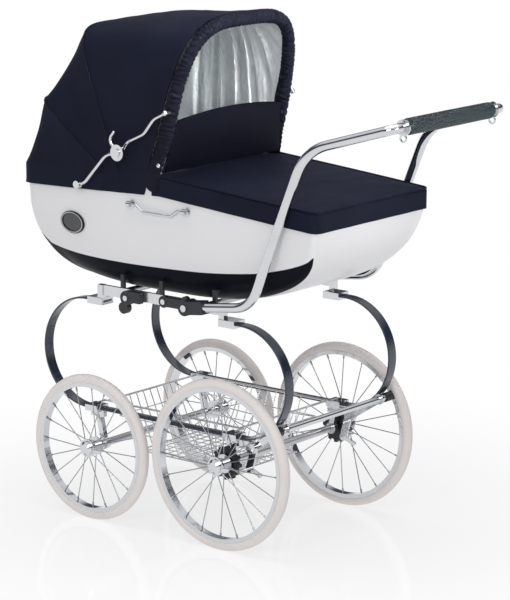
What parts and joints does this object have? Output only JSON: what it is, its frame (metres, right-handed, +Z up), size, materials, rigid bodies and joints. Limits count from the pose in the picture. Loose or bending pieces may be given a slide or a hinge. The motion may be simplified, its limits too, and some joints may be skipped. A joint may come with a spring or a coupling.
{
  "type": "bassinet pram",
  "caption": "Bassinet pram with a white tub carrycot, navy folding hood and apron, bowed leaf springs, spoked wheels, a wire basket and a fold-down handle.",
  "frame": {"origin": "middle of the bounding box at floor level", "axes": "+X towards the handle end, +Y towards the pusher's right, +Z up; the hood end is at -X"},
  "size_m": [1.1086, 0.517, 1.2064],
  "materials": {
    "tyre": "satin cream rubber",
    "chrome": "polished plating",
    "brake_black": "matte black moulding",
    "spring_paint": "navy gloss paint on spring steel",
    "rail_metal": "satin anodised",
    "black_plastic": "near-black moulding",
    "grip_leather": "dark stitched leather",
    "tub_shell": "white lacquered shell with a navy side band",
    "lining": "white cotton cover",
    "navy_cloth": "navy coated satin cloth",
    "badge": "plain enamel plate",
    "steel": "plated steel"
  },
  "bodies": {
    "lower_frame": {"front_axle": "steel", "rear_axle": "steel", "axle_brackets": "chrome", "leaf_springs": "spring_paint", "lower_clamps": "chrome", "basket_rim": "chrome", "basket_wires": "chrome"},
    "brake_pedal": {"brake_bar": "chrome", "brake_bar_caps": "black_plastic", "brake_levers": "chrome"},
    "upper_frame": {"side_rails": "rail_metal", "cross_tubes": "steel", "spring_shackles": "chrome", "frame_pins": "chrome"},
    "handle": {"handle_tube": "chrome", "handle_grip": "grip_leather", "grip_ferrules": "chrome", "accessory_rings": "chrome", "handle_knuckles": "black_plastic"},
    "carrycot": {"tub": "tub_shell", "mattress": "lining", "apron": "navy_cloth", "badge": "badge", "tub_fittings": "chrome", "cot_feet": "black_plastic"},
    "windbreak_flap": {"windbreak": "navy_cloth"},
    "hood_rear": {"rear_bow": "steel", "hood_back": "navy_cloth"},
    "hood_mid": {"mid_bow": "steel", "hood_middle": "navy_cloth"},
    "hood_edge": {"front_bow": "steel", "hood_front": "navy_cloth"},
    "wheel_front_left": {"tyre_front_left": "tyre", "rim_front_left": "chrome", "spokes_front_left": "chrome", "hub_front_left": "chrome"},
    "wheel_front_right": {"tyre_front_right": "tyre", "rim_front_right": "chrome", "spokes_front_right": "chrome", "hub_front_right": "chrome"},
    "wheel_rear_left": {"tyre_rear_left": "tyre", "rim_rear_left": "chrome", "spokes_rear_left": "chrome", "hub_rear_left": "chrome", "brake_disc_left": "brake_black"},
    "wheel_rear_right": {"tyre_rear_right": "tyre", "rim_rear_right": "chrome", "spokes_rear_right": "chrome", "hub_rear_right": "chrome", "brake_disc_right": "brake_black"},
    "left_latch": {"latch_left": "black_plastic"},
    "left_lock_hook": {"lock_hook_left": "black_plastic"},
    "left_bail": {"bail_left": "chrome"},
    "left_iron_lower": {"landau_lower_left": "chrome"},
    "left_iron_upper": {"landau_upper_left": "chrome"},
    "right_latch": {"latch_right": "black_plastic"},
    "right_lock_hook": {"lock_hook_right": "black_plastic"},
    "right_bail": {"bail_right": "chrome"},
    "right_iron_lower": {"landau_lower_right": "chrome"},
    "right_iron_upper": {"landau_upper_right": "chrome"}
  },
  "joints": [
    {"name": "wheel_spin_front_left", "type": "hinge", "parent": "lower_frame", "child": "wheel_front_left", "pos_m": [-0.3102, -0.2335, 0.175], "axis": [0, 1, 0], "continuous": true},
    {"name": "wheel_spin_front_right", "type": "hinge", "parent": "lower_frame", "child": "wheel_front_right", "pos_m": [-0.3102, 0.2335, 0.175], "axis": [0, 1, 0], "continuous": true},
    {"name": "wheel_spin_rear_left", "type": "hinge", "parent": "lower_frame", "child": "wheel_rear_left", "pos_m": [0.0818, -0.2335, 0.2], "axis": [0, 1, 0], "continuous": true},
    {"name": "wheel_spin_rear_right", "type": "hinge", "parent": "lower_frame", "child": "wheel_rear_right", "pos_m": [0.0818, 0.2335, 0.2], "axis": [0, 1, 0], "continuous": true},
    {"name": "suspension_bounce", "type": "slide", "parent": "lower_frame", "child": "upper_frame", "axis": [0, 0, 1], "range_m": [-0.02, 0.012], "stiffness_N_per_m": 9000, "springref_m": 0.02, "deforming": ["leaf_springs"]},
    {"name": "brake_press", "type": "hinge", "parent": "lower_frame", "child": "brake_pedal", "pos_m": [0.1378, 0, 0.238], "axis": [0, 1, 0], "range_deg": [0, 8.5]},
    {"name": "handle_fold", "type": "hinge", "parent": "upper_frame", "child": "handle", "pos_m": [-0.0142, 0, 0.552], "axis": [0, 1, 0], "range_deg": [-45, 0]},
    {"name": "lock_hook_lift_left", "type": "hinge", "parent": "upper_frame", "child": "left_lock_hook", "pos_m": [-0.0962, -0.205, 0.552], "axis": [0, -1, 0], "range_deg": [0, 25]},
    {"name": "latch_lift_left", "type": "hinge", "parent": "upper_frame", "child": "left_latch", "pos_m": [-0.2072, -0.205, 0.546], "axis": [0, -1, 0], "range_deg": [0, 25]},
    {"name": "lock_hook_lift_right", "type": "hinge", "parent": "upper_frame", "child": "right_lock_hook", "pos_m": [-0.0962, 0.205, 0.552], "axis": [0, -1, 0], "range_deg": [0, 25]},
    {"name": "latch_lift_right", "type": "hinge", "parent": "upper_frame", "child": "right_latch", "pos_m": [-0.2072, 0.205, 0.546], "axis": [0, -1, 0], "range_deg": [0, 25]},
    {"name": "carrycot_lift", "type": "slide", "parent": "upper_frame", "child": "carrycot", "axis": [0, 0, 1], "range_m": [0, 0.35]},
    {"name": "windbreak_fold", "type": "hinge", "parent": "carrycot", "child": "windbreak_flap", "pos_m": [-0.10328, 0, 0.8502], "axis": [0, 1, 0], "range_deg": [0, 55]},
    {"name": "bail_swing_left", "type": "hinge", "parent": "carrycot", "child": "left_bail", "pos_m": [-0.1102, -0.225, 0.769], "axis": [-1, 0, 0], "range_deg": [0, 80]},
    {"name": "bail_swing_right", "type": "hinge", "parent": "carrycot", "child": "right_bail", "pos_m": [-0.1102, 0.225, 0.769], "axis": [1, 0, 0], "range_deg": [0, 80]},
    {"name": "hood_rear_fold", "type": "hinge", "parent": "carrycot", "child": "hood_rear", "pos_m": [-0.2072, 0, 0.789], "axis": [0, -1, 0], "range_deg": [0, 22.5], "deforming": ["hood_back"]},
    {"name": "hood_mid_fold", "type": "hinge", "parent": "hood_rear", "child": "hood_mid", "pos_m": [-0.2072, 0, 0.789], "axis": [0, -1, 0], "range_deg": [0, 21], "deforming": ["hood_middle"]},
    {"name": "hood_edge_fold", "type": "hinge", "parent": "hood_mid", "child": "hood_edge", "pos_m": [-0.2072, 0, 0.789], "axis": [0, -1, 0], "range_deg": [0, 37], "deforming": ["hood_front"]},
    {"name": "iron_lower_turn_left", "type": "hinge", "parent": "carrycot", "child": "left_iron_lower", "pos_m": [-0.3362, -0.216, 0.801], "axis": [0, -1, 0], "range_deg": [0, 10.49]},
    {"name": "iron_upper_turn_left", "type": "hinge", "parent": "left_iron_lower", "child": "left_iron_upper", "pos_m": [-0.2062, -0.216, 0.889], "axis": [0, -1, 0], "range_deg": [0, 117.75]},
    {"name": "iron_lower_turn_right", "type": "hinge", "parent": "carrycot", "child": "right_iron_lower", "pos_m": [-0.3362, 0.216, 0.801], "axis": [0, -1, 0], "range_deg": [0, 10.49]},
    {"name": "iron_upper_turn_right", "type": "hinge", "parent": "right_iron_lower", "child": "right_iron_upper", "pos_m": [-0.2062, 0.216, 0.889], "axis": [0, -1, 0], "range_deg": [0, 117.75]}
  ],
  "couplings": [
    {"joint": "hood_mid_fold", "follows": "hood_rear_fold", "ratio": 0.93333},
    {"joint": "hood_edge_fold", "follows": "hood_rear_fold", "ratio": 1.6444},
    {"joint": "iron_lower_turn_left", "follows": "hood_rear_fold", "ratio": 0.46532},
    {"joint": "iron_upper_turn_left", "follows": "hood_rear_fold", "ratio": 5.232},
    {"joint": "iron_lower_turn_right", "follows": "hood_rear_fold", "ratio": 0.46532},
    {"joint": "iron_upper_turn_right", "follows": "hood_rear_fold", "ratio": 5.232}
  ]
}
